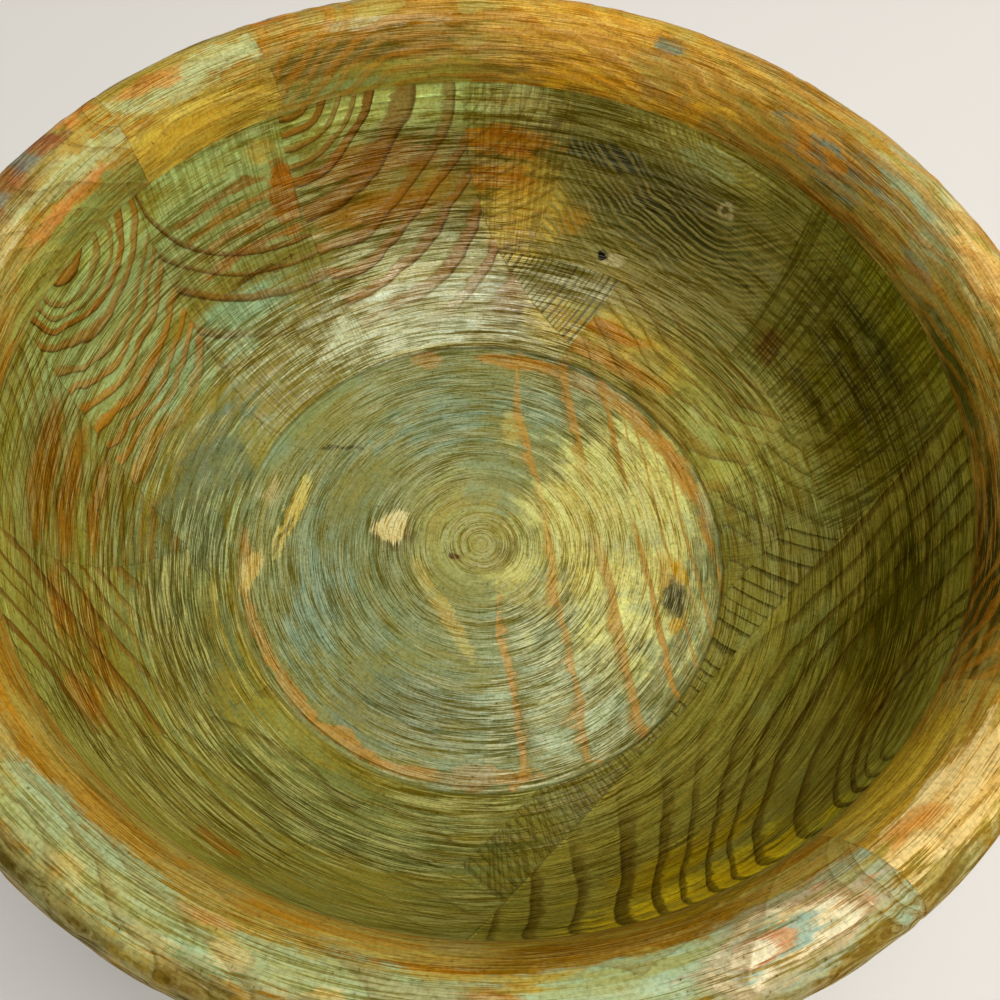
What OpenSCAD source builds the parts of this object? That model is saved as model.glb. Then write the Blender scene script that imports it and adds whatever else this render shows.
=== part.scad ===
// Round dough bowl turned from a blank of glued-up softwood offcuts.
// Two boards make the base, blocks glued in two crossing directions make the wall,
// and two long boards with two short blocks between them make the rolled rim.
// One turned profile cuts every piece. Sizes are in millimetres, +Z is up, the axis
// of turning is Z and the base stands on z = 0. +Y is the far side, +X the right side.

/* [Bowl] */
// Diameter over the rim
bowl_d = 380; // [360:1:420]
// Height from the floor up to the glue line under the rim
wall_h = 106.6; // [96:0.2:118]
// Height of the rim above its glue line
rim_h = 26; // [22:0.5:32]
// Thickness of the base boards
base_t = 18; // [12:0.5:24]
// Diameter of the floor, over the groove around it
floor_d = 211.4; // [202:0.2:217]
// Thickness of the wall
wall_t = 24; // [20.5:0.5:27]

/* [Wall curve] */
// Height of the upright band of the wall under the rim
upright_h = 6.6; // [2:0.2:14]
// Share of the wall's lean that the upper curve of the inside takes
upper_lean_share = 0.1872; // [0.15:0.01:0.22]
// Height above the floor at which the two curves of the inside meet
curve_join_h = 45; // [38:1:54]

/* [Rim roll] */
// How far the rolled crest stands out past the wall
rim_overhang = 4.5; // [1.5:0.5:8]
// Radius of the rolled crest of the rim
crest_r = 11.8; // [9:0.1:13]

/* [Turned details] */
// Width of the half-round groove around the floor
groove_w = 3; // [1.5:0.1:4]
// Radius of the bead at the toe of the wall
bead_r = 1.6; // [1:0.1:1.6]

/* [Wall glue lines] */
// Turn of the wall's block layout, clockwise from the far side, in degrees
wall_angle = 40.8; // [30:0.1:50]
// Glue line between the left corner and the back left row, in from the floor's edge
left_corner_u_in = 12.4; // [9:0.1:16]
// Glue line between back left blocks 1 and 2
back_left_12_u = -31.5; // [-50:0.5:-15]
// Glue line between back left blocks 2 and 3
back_left_23_u = 35.5; // [15:0.5:50]
// Glue line between the back left row and the back right side, in from the floor's edge
back_corner_u_in = 0.7; // [0.5:0.1:4]
// Glue line between the left corner and front left block 3, in from the floor's edge
left_corner_v_in = 25.2; // [15:0.1:35]
// Glue line between front left blocks 3 and 2
front_left_32_v = -14.3; // [-30:0.1:-5]
// Glue line between front left blocks 2 and 1
front_left_21_v = 48.1; // [35:0.1:65]
// Glue line between the back corner and back right upper block 1, in from the floor's edge
back_corner_v_in = 19.3; // [11:0.1:30]
// Glue line between back right upper blocks 1 and 2
upper_12_v = 18.2; // [5:0.1:35]
// Glue line between back right lower blocks 1 and 2
lower_12_v = -44.8; // [-55:0.1:-40]
// Glue line between back right lower blocks 2 and 3
lower_23_v = 58.3; // [40:0.1:75]
// How far the glue line behind the front right block lies outside the floor
front_right_step = 3.4; // [3.4:0.1:8]
// Thickness of the two toe blocks glued behind the front right block
toe_block_t = 19.5; // [15:0.5:24]
// How far inside the wall's outer face the toe blocks end, at the foot of the wall
toe_block_end_in = 2; // [1:0.1:8]
// Height of the back right side's lower course above the floor
lower_course_h = 28; // [22:0.5:34]

/* [Rim and base glue lines] */
// Turn of the rim's boards, clockwise from the far side, in degrees
rim_angle = 42.7; // [30:0.1:50]
// Glue line at the rim's right-hand board
rim_right_u = 33.2; // [20:0.1:45]
// Glue line at the rim's left-hand board
rim_left_u = -29.3; // [-45:0.1:-20]
// Glue line between the two base boards, from the middle
base_joint_x = 9; // [-20:0.5:20]

/* [Hidden] */
$fn = 96;

// Overrun of a cutting shape past what it cuts
overrun = 1;
// Lap of one curve over the next where they meet, too small to see, and the height it runs over
lap = 0.02;
lap_h = 4;
// Half-size of a cutting box, larger than the bowl
reach = bowl_d;

// Heights of the glue lines and of the top
floor_z = base_t;
course_z = floor_z + lower_course_h;
rim_z = floor_z + wall_h;
top_z = rim_z + rim_h;

// Radii of the floor and of the wall at the rim's glue line
floor_r = floor_d / 2;
bowl_r = bowl_d / 2;
wall_outer_r = bowl_r - rim_overhang;
wall_inner_r = wall_outer_r - wall_t;

// Upper curve of the inside, tangent to the upright band
upper_z = rim_z - upright_h;
join_z = floor_z + curve_join_h;
upper_drop = upper_z - join_z;
upper_lean = upper_lean_share * (wall_inner_r - floor_r);
upper_curve_r = (upper_drop * upper_drop + upper_lean * upper_lean) / (2 * upper_lean);
upper_x = wall_inner_r - upper_curve_r;
join_tilt = asin(upper_drop / upper_curve_r);
join_r = upper_x + upper_curve_r * cos(join_tilt);

// Lower curve, tangent to the upper one and ending at the edge of the floor
join_dx = join_r - floor_r;
join_lever = join_dx * cos(join_tilt) - curve_join_h * sin(join_tilt);
lower_curve_r = (join_dx * join_dx + curve_join_h * curve_join_h) / (2 * join_lever);
lower_x = join_r - lower_curve_r * cos(join_tilt);
lower_z = join_z + lower_curve_r * sin(join_tilt);

// Height at which the same two curves meet on the outside, and the outer radius at the floor
outer_join_z = join_z - wall_t * sin(join_tilt);
outer_curve_r = lower_curve_r + wall_t;
foot_r = lower_x + sqrt(outer_curve_r * outer_curve_r - (lower_z - floor_z) * (lower_z - floor_z));

// Rolled crest, and the inner roll that runs from the upright wall into it
crest_x = bowl_r - crest_r;
crest_z = top_z - crest_r;
roll_dx = crest_x - wall_inner_r;
roll_dz = crest_z - rim_z;
roll_r = (roll_dx * roll_dx + roll_dz * roll_dz - crest_r * crest_r) / (2 * (roll_dx - crest_r));
roll_x = wall_inner_r + roll_r;
roll_angle = atan2(crest_z - rim_z, crest_x - roll_x);

// Glue lines placed from the edge of the floor
left_corner_u = left_corner_u_in - floor_r;
left_corner_v = left_corner_v_in - floor_r;
back_corner_u = floor_r - back_corner_u_in;
back_corner_v = back_corner_v_in - floor_r;
front_right_v = floor_r + front_right_step;

// Glue line behind the toe blocks, and their outer ends
toe_block_v = front_right_v - toe_block_t;
toe_block_end_r = foot_r - toe_block_end_in;
toe_block_end_u = sqrt(toe_block_end_r * toe_block_end_r - front_right_v * front_right_v);

// Paint and stain seen on the pieces
base_green = "#7f8a52";
wall_green = "#77803c";
wall_ochre = "#8f7a2c";
wall_olive = "#5f6128";
rim_amber = "#b98632";
rim_teal = "#8c9568";

// A point at a distance and an angle from a centre
function polar(centre, r, angle) = centre + r * [cos(angle), sin(angle)];

// Strip of the profile's half-plane between two heights
module strip(z_low, z_high) {
    translate([0, z_low])
        square([reach, z_high - z_low]);
}

// Section inside the upright band and the two curves, set outward by a thickness
module curve_section(thickness, z_low, z_meet, z_high) {
    translate([0, upper_z])
        square([wall_inner_r + thickness, z_high - upper_z]);
    intersection() {
        translate([upper_x, upper_z])
            circle(r = upper_curve_r + thickness + lap);
        strip(z_meet, z_high);
    }
    intersection() {
        union() {
            translate([lower_x, lower_z])
                circle(r = lower_curve_r + thickness + 2 * lap);
            translate([0, z_low])
                square([lower_x, z_meet - z_low]);
        }
        strip(z_low, z_meet + lap_h);
    }
}

// Section of the wall from the floor to the rim, with the bead at its toe
module wall_section() {
    difference() {
        intersection() {
            curve_section(wall_t, 0, outer_join_z, rim_z);
            strip(floor_z, rim_z);
        }
        curve_section(0, floor_z - overrun, join_z, rim_z + overrun);
    }
    intersection() {
        translate([floor_r + bead_r, floor_z])
            circle(r = bead_r);
        strip(floor_z, join_z);
    }
}

// Section of the base, with the half-round groove around the floor
module base_section() {
    difference() {
        intersection() {
            curve_section(wall_t, 0, outer_join_z, rim_z);
            strip(0, floor_z);
        }
        translate([floor_r - groove_w / 2, floor_z])
            circle(r = groove_w / 2);
    }
}

// Section of the rim: an upright outer face, a roll on the inside and a round crest over both
module rim_section() {
    crest = [crest_x, crest_z];
    past_roll = polar(crest, crest_r + overrun, roll_angle);
    intersection() {
        translate([roll_x, rim_z])
            circle(r = roll_r - lap);
        polygon([
            [wall_inner_r - overrun, rim_z],
            [wall_outer_r, rim_z],
            [wall_outer_r, crest_z],
            crest,
            past_roll,
            [wall_inner_r - overrun, past_roll[1]]
        ]);
    }
    intersection() {
        translate(crest)
            circle(r = crest_r);
        strip(rim_z, top_z + overrun);
    }
}

// Box between glue planes of a layout turned about the axis; v runs to its right, u away from it
module glue_box(angle, v_low, v_high, u_low, u_high, z_low, z_high) {
    rotate([0, 0, -angle])
        translate([v_low, u_low, z_low])
            cube([v_high - v_low, u_high - u_low, z_high - z_low]);
}

// Piece of the turned wall between glue planes
module wall_piece(v_low, v_high, u_low, u_high, z_low = floor_z - overrun, z_high = rim_z + overrun) {
    intersection() {
        rotate_extrude()
            wall_section();
        glue_box(wall_angle, v_low, v_high, u_low, u_high, z_low, z_high);
    }
}

// Space that the two toe blocks take out of the pieces behind them
module toe_block_space() {
    glue_box(wall_angle, toe_block_v, front_right_v + overrun, -toe_block_end_u, toe_block_end_u,
        floor_z - 2 * overrun, rim_z + 2 * overrun);
}

// Piece of the turned rim between glue planes
module rim_piece(v_low, v_high, u_low, u_high) {
    intersection() {
        rotate_extrude()
            rim_section();
        glue_box(rim_angle, v_low, v_high, u_low, u_high, rim_z - overrun, top_z + overrun);
    }
}

// Piece of the turned base between two upright planes
module base_piece(x_low, x_high) {
    intersection() {
        rotate_extrude()
            base_section();
        translate([x_low, -reach, -overrun])
            cube([x_high - x_low, 2 * reach, floor_z + 2 * overrun]);
    }
}

// Left-hand board of the base
module base_board_left() {
    color(base_green)
        base_piece(-reach, base_joint_x);
}

// Right-hand board of the base
module base_board_right() {
    color(base_green)
        base_piece(base_joint_x, reach);
}

// Back left row of the wall, from the left corner
module back_left_block_1() {
    color(wall_green)
        wall_piece(-reach, 0, left_corner_u, back_left_12_u);
}

// Middle of the back left row
module back_left_block_2() {
    color(wall_ochre)
        wall_piece(-reach, 0, back_left_12_u, back_left_23_u);
}

// End of the back left row, at the back corner
module back_left_block_3() {
    color(wall_green)
        wall_piece(-reach, lower_12_v, back_left_23_u, back_corner_u);
}

// Left corner of the wall
module left_corner_block() {
    color(wall_ochre)
        wall_piece(-reach, left_corner_v, -reach, left_corner_u);
}

// Back corner of the wall, on the lower course of the back right side
module back_corner_block() {
    color(wall_ochre)
        wall_piece(-reach, back_corner_v, back_corner_u, reach, z_low = course_z);
}

// Upper course of the back right side, next to the back corner
module back_right_upper_block_1() {
    color(wall_olive)
        wall_piece(back_corner_v, upper_12_v, back_corner_u, reach, z_low = course_z);
}

// Upper course of the back right side, next to the front right block
module back_right_upper_block_2() {
    color(wall_olive)
        difference() {
            wall_piece(upper_12_v, front_right_v, 0, reach, z_low = course_z);
            toe_block_space();
        }
}

// Lower course of the back right side, at the back corner
module back_right_lower_block_1() {
    color(wall_ochre)
        wall_piece(-reach, lower_12_v, back_corner_u, reach, z_high = course_z);
}

// Middle of the back right side's lower course
module back_right_lower_block_2() {
    color(wall_green)
        wall_piece(lower_12_v, lower_23_v, 0, reach, z_high = course_z);
}

// Lower course of the back right side, next to the front right block
module back_right_lower_block_3() {
    color(wall_olive)
        difference() {
            wall_piece(lower_23_v, front_right_v, 0, reach, z_high = course_z);
            toe_block_space();
        }
}

// Toe block behind the front right block, on the right
module right_toe_block() {
    color(wall_olive)
        wall_piece(toe_block_v, front_right_v, 0, toe_block_end_u);
}

// Toe block behind the front right block, at the front
module front_toe_block() {
    color(wall_olive)
        wall_piece(toe_block_v, front_right_v, -toe_block_end_u, 0);
}

// Front right side of the wall, one large block
module front_right_block() {
    color(wall_ochre)
        wall_piece(front_right_v, reach, -reach, reach);
}

// Front left side of the wall, next to the front right block
module front_left_block_1() {
    color(wall_green)
        difference() {
            wall_piece(front_left_21_v, front_right_v, -reach, 0);
            toe_block_space();
        }
}

// Middle of the front left side
module front_left_block_2() {
    color(wall_green)
        wall_piece(front_left_32_v, front_left_21_v, -reach, 0);
}

// Front left side of the wall, next to the left corner
module front_left_block_3() {
    color(wall_ochre)
        wall_piece(left_corner_v, front_left_32_v, -reach, left_corner_u);
}

// Short block of the rim at the back left
module rim_back_block() {
    color(rim_amber)
        rim_piece(-reach, 0, rim_left_u, rim_right_u);
}

// Long board of the rim on the right
module rim_right_board() {
    color(rim_amber)
        rim_piece(-reach, reach, rim_right_u, reach);
}

// Short block of the rim at the front right
module rim_front_block() {
    color(rim_teal)
        rim_piece(0, reach, rim_left_u, rim_right_u);
}

// Long board of the rim on the left
module rim_left_board() {
    color(rim_teal)
        rim_piece(-reach, reach, -reach, rim_left_u);
}

base_board_left();
base_board_right();
back_left_block_1();
back_left_block_2();
back_left_block_3();
left_corner_block();
back_corner_block();
back_right_upper_block_1();
back_right_upper_block_2();
back_right_lower_block_1();
back_right_lower_block_2();
back_right_lower_block_3();
right_toe_block();
front_toe_block();
front_right_block();
front_left_block_1();
front_left_block_2();
front_left_block_3();
rim_back_block();
rim_right_board();
rim_front_block();
rim_left_board();
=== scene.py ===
import math

import bmesh
import bpy
from mathutils import Matrix, Vector


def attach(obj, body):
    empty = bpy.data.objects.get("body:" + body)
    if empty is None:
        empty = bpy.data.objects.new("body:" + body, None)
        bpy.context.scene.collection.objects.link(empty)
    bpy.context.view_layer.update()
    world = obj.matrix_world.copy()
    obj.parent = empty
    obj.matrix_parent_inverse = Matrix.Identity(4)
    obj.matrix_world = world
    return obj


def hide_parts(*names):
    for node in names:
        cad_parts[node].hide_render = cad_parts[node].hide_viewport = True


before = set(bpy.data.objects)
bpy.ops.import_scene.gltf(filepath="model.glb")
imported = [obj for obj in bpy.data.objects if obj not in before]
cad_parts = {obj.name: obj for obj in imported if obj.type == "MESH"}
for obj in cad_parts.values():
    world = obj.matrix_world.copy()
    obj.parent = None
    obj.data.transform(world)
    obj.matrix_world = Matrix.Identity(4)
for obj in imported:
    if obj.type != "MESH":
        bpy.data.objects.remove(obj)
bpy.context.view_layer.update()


# The base: two softwood boards glued edge to edge and turned to a flat floor, with a half-round
# groove at its edge. The floor keeps fine rings from the gouge, under rubbed paint and satin varnish.

# Sizes are in mm and angles in degrees; the mesh itself is in metres.
MM = 0.001
FLOOR_HEIGHT, FLOOR_RADIUS, GROOVE_RADIUS = 18, 105.7, 1.5
FOOT_RADIUS, BASE_EDGE_RADIUS, BOARD_JOINT = 124.17, 149.29, 9
LOW_CENTRE, LOW_INSIDE, LOW_OUTSIDE = (77.164, 92.117), 79.42, 103.42
FLOOR_LEVEL_ANGLE, TABLE_ANGLE = -45.78, -62.96
BASE_TURNS, BASE_REACH = 600, 200


def linear(colour):
    """Linear colour of an sRGB hex string."""
    parts = [int(colour[i:i + 2], 16) / 255 for i in (1, 3, 5)]
    return tuple(p / 12.92 if p <= 0.04045 else ((p + 0.055) / 1.055) ** 2.4 for p in parts) + (1.0,)


def add(tree, kind, values=(), **settings):
    """Adds one node; values go to its inputs in order, or by name, and may be nodes or their outputs."""
    node = tree.nodes.new(kind)
    for key, value in settings.items():
        setattr(node, key, value)
    for socket, value in values.items() if isinstance(values, dict) else enumerate(values):
        if isinstance(value, bpy.types.Node):
            value = next(output for output in value.outputs if output.enabled)
        if isinstance(value, bpy.types.NodeSocket):
            tree.links.new(value, node.inputs[socket])
        else:
            node.inputs[socket].default_value = value
    return node


def sockets(tree, side, kind, *names):
    """Adds named sockets of one kind to a node group."""
    for name in names:
        tree.interface.new_socket(name, in_out=side, socket_type="NodeSocket" + kind)


def arc(centre, radius, start, end, step):
    """Points on an arc of a turned section, in mm, at about a step apart; angles in degrees."""
    count = max(2, round(math.radians(abs(end - start)) * radius / step))
    angles = [math.radians(start + (end - start) * i / count) for i in range(count + 1)]
    return [(centre[0] + radius * math.cos(a), centre[1] + radius * math.sin(a)) for a in angles]


def line(start, end, step):
    """Points on a straight part of a turned section, in mm."""
    count = max(1, round(math.dist(start, end) / step))
    return [tuple(a + (b - a) * i / count for a, b in zip(start, end)) for i in range(count + 1)]


def turned_form(name, section, turns):
    """Closed mesh of a section, (radius, height) in mm, turned about the axis in a number of steps."""
    same = 1e-6
    points = [p for i, p in enumerate(section) if math.dist(p, section[i - 1]) > same]
    rows = len(points)
    angles = [2 * math.pi * k / turns for k in range(turns)]
    vertices = [(r * math.sin(a) * MM, r * math.cos(a) * MM, z * MM) for a in angles for r, z in points]
    faces = []
    for k in range(turns):
        here, there = k * rows, (k + 1) % turns * rows
        for i in range(rows):
            j = (i + 1) % rows
            if points[i][0] > 0 or points[j][0] > 0:
                faces.append((here + i, here + j, there + j, there + i))
    mesh = bpy.data.meshes.new(name)
    mesh.from_pydata(vertices, [], faces)
    bm = bmesh.new()
    bm.from_mesh(mesh)
    bmesh.ops.remove_doubles(bm, verts=[v for v in bm.verts if v.co.xy.length < same], dist=same)
    bmesh.ops.recalc_face_normals(bm, faces=bm.faces)
    bm.to_mesh(mesh)
    bm.free()
    return mesh


def glue_box(turn, v, u, z):
    """Solid between glue planes in mm: v to the right and u away, in a layout turned clockwise."""
    mesh = bpy.data.meshes.new("glue_planes")
    corners = [Vector((x, y, h)) * MM for h in z for y in u for x in v]
    mesh.from_pydata(
        [Matrix.Rotation(-math.radians(turn), 3, "Z") @ c for c in corners], [],
        [(0, 2, 3, 1), (4, 5, 7, 6), (0, 1, 5, 4), (2, 6, 7, 3), (0, 4, 6, 2), (1, 3, 7, 5)])
    box = bpy.data.objects.new("glue_planes", mesh)
    bpy.context.scene.collection.objects.link(box)
    return box


def growth_tree():
    """Geometry Nodes: growth rings about a heart line, standing proud of the softer wood between."""
    wave_length, bite_length, sharp_edge = 29.411765, 8.3333333, 0.22  # mm, mm and radians
    tree = bpy.data.node_groups.new("growth rings", "GeometryNodeTree")
    sockets(tree, "INPUT", "Geometry", "Geometry")
    sockets(tree, "INPUT", "Vector", "Heart", "Along")
    sockets(tree, "INPUT", "Float", "Tall", "Ring width", "Wander", "Relief", "Chip", "Seed")
    sockets(tree, "INPUT", "Material", "Paint")
    sockets(tree, "OUTPUT", "Geometry", "Geometry")
    given = add(tree, "NodeGroupInput").outputs

    # Distance from the heart line, squeezed in height, gives the ring; slow noise makes it wander.
    place = add(tree, "GeometryNodeInputPosition")
    offset = add(tree, "ShaderNodeVectorMath", (place, given["Heart"]), operation="SUBTRACT")
    along = add(tree, "ShaderNodeVectorMath", (offset, given["Along"]), operation="DOT_PRODUCT")
    run = add(tree, "ShaderNodeVectorMath", {0: given["Along"], "Scale": along}, operation="SCALE")
    across = add(tree, "ShaderNodeVectorMath", (offset, run), operation="SUBTRACT")
    tall = add(tree, "ShaderNodeCombineXYZ", (1.0, 1.0, given["Tall"]))
    squeezed = add(tree, "ShaderNodeVectorMath", (across, tall), operation="MULTIPLY")
    distance = add(tree, "ShaderNodeVectorMath", (squeezed,), operation="LENGTH")
    wander = add(tree, "ShaderNodeTexNoise", {
        "Vector": place, "W": given["Seed"], "Scale": 1 / (wave_length * MM), "Detail": 2.0, "Roughness": 0.45},
        noise_dimensions="4D")
    centred = add(tree, "ShaderNodeMath", (wander, 0.5), operation="SUBTRACT")
    moved = add(tree, "ShaderNodeMath", (centred, given["Wander"], distance), operation="MULTIPLY_ADD")
    rings = add(tree, "ShaderNodeMath", (moved, given["Ring width"]), operation="DIVIDE")

    # Wide and narrow years: the ring number itself is shifted by a slow noise of its own.
    years = add(tree, "ShaderNodeMath", (given["Seed"], 17.0, rings), operation="MULTIPLY_ADD")
    lean = add(tree, "ShaderNodeTexNoise", {"W": years, "Scale": 0.31, "Detail": 0.0}, noise_dimensions="1D")
    ring = add(tree, "ShaderNodeMath", (lean, 1.6, rings), operation="MULTIPLY_ADD")
    split = add(tree, "GeometryNodeTriangulate", (given["Geometry"],))
    stored = add(tree, "GeometryNodeStoreNamedAttribute", {"Geometry": split, "Name": "ring", "Value": ring},
                 data_type="FLOAT", domain="POINT")

    # Late wood keeps its height and the wood between is worn by the relief, but not at glue lines.
    part = add(tree, "ShaderNodeMath", (ring,), operation="FRACT")
    rise = add(tree, "ShaderNodeMapRange", (part, 0.42, 0.72), interpolation_type="SMOOTHSTEP")
    fall = add(tree, "ShaderNodeMapRange", (part, 1.0, 0.9), interpolation_type="SMOOTHSTEP")
    proud = add(tree, "ShaderNodeMath", (rise, fall), operation="MULTIPLY")
    worn = add(tree, "ShaderNodeMath", (1.0, proud), operation="SUBTRACT")
    low = add(tree, "ShaderNodeMath", (worn, given["Relief"]), operation="MULTIPLY")
    angle = add(tree, "GeometryNodeInputMeshEdgeAngle")
    edge = add(tree, "ShaderNodeMath", (angle, sharp_edge), operation="GREATER_THAN")
    inner = add(tree, "ShaderNodeMath", (1.0, edge), operation="SUBTRACT")
    sunk = add(tree, "ShaderNodeMath", (low, inner), operation="MULTIPLY")

    # Sharp edges are chipped a little instead, unevenly along their length.
    bite = add(tree, "ShaderNodeTexNoise", {
        "Vector": place, "W": given["Seed"], "Scale": 1 / (bite_length * MM), "Detail": 3.0},
        noise_dimensions="4D")
    bitten = add(tree, "ShaderNodeMapRange", (bite, 0.35, 0.75, 0.25, 1.0))
    chip = add(tree, "ShaderNodeMath", (edge, bitten), operation="MULTIPLY")
    depth = add(tree, "ShaderNodeMath", (chip, given["Chip"], sunk), operation="MULTIPLY_ADD")
    inward = add(tree, "ShaderNodeMath", (depth, -1.0), operation="MULTIPLY")
    normal = add(tree, "GeometryNodeInputNormal")
    shift = add(tree, "ShaderNodeVectorMath", {0: normal, "Scale": inward}, operation="SCALE")
    carved = add(tree, "GeometryNodeSetPosition", {"Geometry": stored, "Offset": shift})
    whole = add(tree, "GeometryNodeRealizeInstances", (carved,))
    painted = add(tree, "GeometryNodeSetMaterial", {"Geometry": whole, "Material": given["Paint"]})
    add(tree, "NodeGroupOutput", (painted,))
    return tree


growth_rings = growth_tree()


def grown_piece(name, form, cut, heart, along, ring_width, material, tall=1.0, wander=6.0, relief=0.22,
                chip=0.1, seed=0.0, notch=None, pits=()):
    """A named piece: a turned form cut at its glue planes, with the growth rings of its own board.

    Pits are a depth and a patch each, where wood is missing, or stands proud if the depth is negative."""
    smooth_below = 40
    piece = bpy.data.objects.new(name + "_grown", form)
    bpy.context.scene.collection.objects.link(piece)
    planes = piece.modifiers.new("glue planes", "BOOLEAN")
    planes.operation, planes.solver, planes.object = "INTERSECT", "MANIFOLD", cut
    if notch:
        space = piece.modifiers.new("neighbour", "BOOLEAN")
        space.operation, space.solver, space.object = "DIFFERENCE", "MANIFOLD", notch
    grain = piece.modifiers.new("grain", "NODES")
    grain.node_group = growth_rings
    values = {"Heart": Vector(heart) * MM, "Along": Vector(along).normalized(), "Tall": tall,
              "Ring width": ring_width * MM, "Wander": wander * MM, "Relief": relief * MM, "Chip": chip * MM,
              "Seed": seed, "Paint": material}
    for socket in growth_rings.interface.items_tree:
        if socket.in_out == "INPUT" and socket.name in values:
            grain[socket.identifier] = values[socket.name]
    shown = piece.evaluated_get(bpy.context.evaluated_depsgraph_get())
    mesh = bpy.data.meshes.new_from_object(shown)
    piece.modifiers.clear()
    piece.data = mesh
    mesh.name = piece.name
    mesh.materials.pop(index=0)  # the empty slot that the cut leaves before the paint's own
    for depth, (middle, turn, half) in pits:
        spin = Matrix.Rotation(math.radians(turn), 3, "Z")
        for vertex in mesh.vertices:
            offset = spin @ (vertex.co / MM - Vector(middle))
            share = 1 - Vector((offset.x / half[0], offset.y / half[1], offset.z / half[2])).length
            if share > 0:
                vertex.co -= vertex.normal * depth * MM * min(1.0, 2 * share)
    mesh.shade_smooth()
    mesh.set_sharp_from_angle(angle=math.radians(smooth_below))
    for helper in (cut, notch):
        if helper:
            bpy.data.objects.remove(helper)
    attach(piece, "root")
    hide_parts(name)


def marks_tree():
    """Shader group: what the gouge and the wood leave on every turned face, as noise about 0.5."""
    drift_reach = (8 * MM, 8 * MM, 8 * MM)
    tree = bpy.data.node_groups.new("gouge marks", "ShaderNodeTree")
    sockets(tree, "INPUT", "Float", "Fine", "Broad")
    sockets(tree, "OUTPUT", "Vector", "Place")
    sockets(tree, "OUTPUT", "Float", "Lines", "Streaks", "Clouds", "Blotches", "Specks", "Upright")
    given = add(tree, "NodeGroupInput").outputs

    # Turning lines keep one radius and height, so the third axis runs out across the floor and up the wall.
    place = add(tree, "ShaderNodeTexCoord").outputs["Object"]
    axes = add(tree, "ShaderNodeSeparateXYZ", (place,)).outputs
    flat = add(tree, "ShaderNodeCombineXYZ", (axes["X"], axes["Y"]))
    radius = add(tree, "ShaderNodeVectorMath", (flat,), operation="LENGTH")
    run = add(tree, "ShaderNodeMath", (radius, axes["Z"]), operation="ADD")
    turning = add(tree, "ShaderNodeCombineXYZ", (axes["X"], axes["Y"], run))
    close = add(tree, "ShaderNodeVectorMath", {0: turning, "Scale": given["Fine"]}, operation="SCALE")
    spoke = add(tree, "ShaderNodeVectorMath", (flat,), operation="NORMALIZE")
    spoke_axes = add(tree, "ShaderNodeSeparateXYZ", (spoke,)).outputs
    upright = add(tree, "ShaderNodeCombineXYZ", (spoke_axes["X"], spoke_axes["Y"], run))

    def drawn_out(vector, long, wide, detail, rough=0.6):
        """Noise in marks of a length around the bowl and a width across the turning, in mm."""
        per_metre = (1 / (long * MM), 1 / (long * MM), 1 / (wide * MM))
        stretched = add(tree, "ShaderNodeVectorMath", (vector, per_metre), operation="MULTIPLY")
        return add(tree, "ShaderNodeTexNoise", {"Vector": stretched, "Scale": 1.0, "Detail": detail,
                                                "Roughness": rough})

    # A gouge leaves lines under 0.3 mm; they are drawn 0.5 mm wide so that they show in the render.
    scratch = add(tree, "ShaderNodeMath", (drawn_out(close, 16.6667, 0.5, 4.0, 0.68), 0.5), operation="SUBTRACT")
    broad = add(tree, "ShaderNodeMath", (drawn_out(turning, 29.4118, 2.32558, 3.0), 0.5), operation="SUBTRACT")
    both = add(tree, "ShaderNodeMath", (broad, given["Broad"], scratch), operation="MULTIPLY_ADD")
    press = add(tree, "ShaderNodeMapRange", (drawn_out(turning, 62.5, 29.4118, 2.0), 0.35, 0.62),
                interpolation_type="SMOOTHSTEP")
    force = add(tree, "ShaderNodeMath", (press, 1.0, 0.4), operation="MULTIPLY_ADD")
    lines = add(tree, "ShaderNodeMath", (both, force, 0.5), operation="MULTIPLY_ADD")

    # Patches of wear are pushed about by up to a few mm, so that no edge is a clean curve.
    drift = drawn_out(place, 14.2857, 14.2857, 3.0).outputs["Color"]
    centred = add(tree, "ShaderNodeVectorMath", (drift, (0.5, 0.5, 0.5)), operation="SUBTRACT")
    pushed = add(tree, "ShaderNodeVectorMath", (centred, drift_reach, place), operation="MULTIPLY_ADD")

    # A spoke is one unit long at any radius, so its marks of 7.7 are about 1.1 mm apart on the wall.
    add(tree, "NodeGroupOutput", {
        "Place": pushed, "Lines": lines, "Streaks": drawn_out(turning, 83.3333, 4.16667, 4.0),
        "Clouds": drawn_out(place, 29.4118, 29.4118, 5.0, 0.65),
        "Blotches": drawn_out(turning, 13.3333, 6.66667, 5.0, 0.68),
        "Specks": drawn_out(place, 1.25, 1.25, 3.0), "Upright": drawn_out(upright, 7.69231, 62.5, 2.0)})
    return tree


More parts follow.
